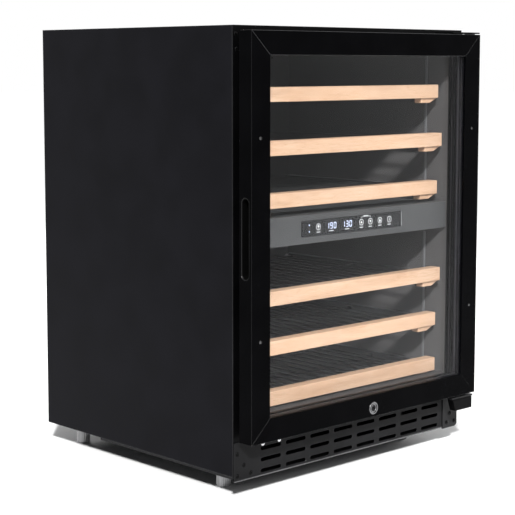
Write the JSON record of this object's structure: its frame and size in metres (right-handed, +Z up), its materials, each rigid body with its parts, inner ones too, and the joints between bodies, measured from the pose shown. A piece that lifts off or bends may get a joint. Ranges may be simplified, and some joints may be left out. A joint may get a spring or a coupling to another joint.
{
  "type": "wine cooler",
  "caption": "Undercounter dual-zone wine cooler: black steel cabinet, glazed hinged door with lock, wooden-fronted sliding shelves, touch control band and slotted kick plate.",
  "frame": {"origin": "on the floor under the middle of the bounding box, with the feet screwed in and the door closed", "axes": "+X to the right of someone who faces the door, +Y from the door to the back, +Z up"},
  "size_m": [0.595, 0.58, 0.805],
  "materials": {
    "case_steel": "satin",
    "rear_steel": "matte",
    "front_steel": "satin",
    "kick_steel": "satin",
    "hinge_steel": "satin",
    "galvanised": "satin",
    "foam": "matte",
    "liner_plastic": "satin",
    "band_plastic": "satin",
    "control_face": "gloss",
    "circuit_board": "satin",
    "coil_metal": "satin",
    "motor_plastic": "matte",
    "fan_plastic": "satin",
    "lamp_lens": "satin",
    "rail_steel": "satin",
    "screw_steel": "gloss",
    "compressor_paint": "satin",
    "rubber_black": "matte",
    "copper": "satin",
    "frame_black": "satin",
    "door_glass": "gloss",
    "spacer_metal": "satin",
    "grip_plastic": "satin",
    "bush_plastic": "satin",
    "lock_chrome": "polished",
    "lock_steel": "satin",
    "foot_metal": "satin",
    "beech": "satin",
    "rack_wire": "satin"
  },
  "bodies": {
    "cabinet": {"left_side_panel": "case_steel", "right_side_panel": "case_steel", "top_panel": "case_steel", "rear_panels": "rear_steel", "front_frame": "front_steel", "base_pan": "rear_steel", "bulkhead": "galvanised", "foam_insulation": "foam", "liner": "liner_plastic", "zone_divider": "band_plastic", "control_glass": "control_face", "control_board": "circuit_board", "air_panels": "liner_plastic", "cold_plates": "coil_metal", "fan_brackets": "motor_plastic", "light_strips": "lamp_lens", "shelf_rails": "rail_steel", "kick_plate": "kick_steel", "top_hinge_bracket": "front_steel", "bottom_hinge_bracket": "hinge_steel", "hinge_cover": "front_steel", "cabinet_screws": "screw_steel", "compressor": "compressor_paint", "compressor_mounts": "rubber_black", "condenser": "coil_metal", "refrigerant_pipes": "copper", "drip_tray": "motor_plastic", "power_box": "motor_plastic"},
    "door": {"top_rail": "frame_black", "bottom_rail": "frame_black", "grip_stile": "frame_black", "hinge_stile": "frame_black", "outer_pane": "door_glass", "inner_pane": "door_glass", "glazing_spacer": "spacer_metal", "door_gasket": "rubber_black", "grip_cup": "grip_plastic", "frame_plugs": "screw_steel", "hinge_bushes": "bush_plastic", "lock_body": "lock_chrome"},
    "lock": {"lock_barrel": "lock_steel"},
    "upper_fan_wheel": {"upper_fan": "fan_plastic"},
    "lower_fan_wheel": {"lower_fan": "fan_plastic"},
    "condenser_fan_wheel": {"condenser_fan": "fan_plastic"},
    "front_left_foot": {"front_left_foot": "foot_metal"},
    "front_right_foot": {"front_right_foot": "foot_metal"},
    "rear_left_foot": {"rear_left_foot": "foot_metal"},
    "rear_right_foot": {"rear_right_foot": "foot_metal"},
    "shelf_1": {"shelf_1_board": "beech", "shelf_1_rack": "rack_wire"},
    "shelf_2": {"shelf_2_board": "beech", "shelf_2_rack": "rack_wire"},
    "shelf_3": {"shelf_3_board": "beech", "shelf_3_rack": "rack_wire"},
    "shelf_4": {"shelf_4_board": "beech", "shelf_4_rack": "rack_wire"},
    "shelf_5": {"shelf_5_board": "beech", "shelf_5_rack": "rack_wire"},
    "shelf_6": {"shelf_6_board": "beech", "shelf_6_rack": "rack_wire"}
  },
  "joints": [
    {"name": "door_hinge", "type": "hinge", "parent": "cabinet", "child": "door", "pos_m": [0.285, -0.274, 0.45], "axis": [0, 0, 1], "range_deg": [0, 120]},
    {"name": "lock_turn", "type": "hinge", "parent": "door", "child": "lock", "pos_m": [0.005, -0.27, 0.1235], "axis": [0, -1, 0], "range_deg": [0, 90]},
    {"name": "upper_fan_spin", "type": "hinge", "parent": "cabinet", "child": "upper_fan_wheel", "pos_m": [0, 0.2, 0.65], "axis": [0, 1, 0], "continuous": true},
    {"name": "lower_fan_spin", "type": "hinge", "parent": "cabinet", "child": "lower_fan_wheel", "pos_m": [0, 0.2, 0.33], "axis": [0, 1, 0], "continuous": true},
    {"name": "condenser_fan_spin", "type": "hinge", "parent": "cabinet", "child": "condenser_fan_wheel", "pos_m": [0.033, 0.196, 0.122], "axis": [1, 0, 0], "continuous": true},
    {"name": "front_left_foot_screw", "type": "slide", "parent": "cabinet", "child": "front_left_foot", "axis": [0, 0, -1], "range_m": [0, 0.045]},
    {"name": "front_right_foot_screw", "type": "slide", "parent": "cabinet", "child": "front_right_foot", "axis": [0, 0, -1], "range_m": [0, 0.045]},
    {"name": "rear_left_foot_screw", "type": "slide", "parent": "cabinet", "child": "rear_left_foot", "axis": [0, 0, -1], "range_m": [0, 0.045]},
    {"name": "rear_right_foot_screw", "type": "slide", "parent": "cabinet", "child": "rear_right_foot", "axis": [0, 0, -1], "range_m": [0, 0.045]},
    {"name": "shelf_1_slide", "type": "slide", "parent": "cabinet", "child": "shelf_1", "axis": [0, -1, 0], "range_m": [0, 0.2]},
    {"name": "shelf_2_slide", "type": "slide", "parent": "cabinet", "child": "shelf_2", "axis": [0, -1, 0], "range_m": [0, 0.2]},
    {"name": "shelf_3_slide", "type": "slide", "parent": "cabinet", "child": "shelf_3", "axis": [0, -1, 0], "range_m": [0, 0.2]},
    {"name": "shelf_4_slide", "type": "slide", "parent": "cabinet", "child": "shelf_4", "axis": [0, -1, 0], "range_m": [0, 0.2]},
    {"name": "shelf_5_slide", "type": "slide", "parent": "cabinet", "child": "shelf_5", "axis": [0, -1, 0], "range_m": [0, 0.2]},
    {"name": "shelf_6_slide", "type": "slide", "parent": "cabinet", "child": "shelf_6", "axis": [0, -1, 0], "range_m": [0, 0.2]}
  ],
  "couplings": [
    {"joint": "shelf_1_slide", "follows": "door_hinge", "m_per_rad": 0.065},
    {"joint": "shelf_2_slide", "follows": "door_hinge", "m_per_rad": 0.065},
    {"joint": "shelf_3_slide", "follows": "door_hinge", "m_per_rad": 0.065},
    {"joint": "shelf_4_slide", "follows": "door_hinge", "m_per_rad": 0.065},
    {"joint": "shelf_5_slide", "follows": "door_hinge", "m_per_rad": 0.065},
    {"joint": "shelf_6_slide", "follows": "door_hinge", "m_per_rad": 0.065}
  ]
}
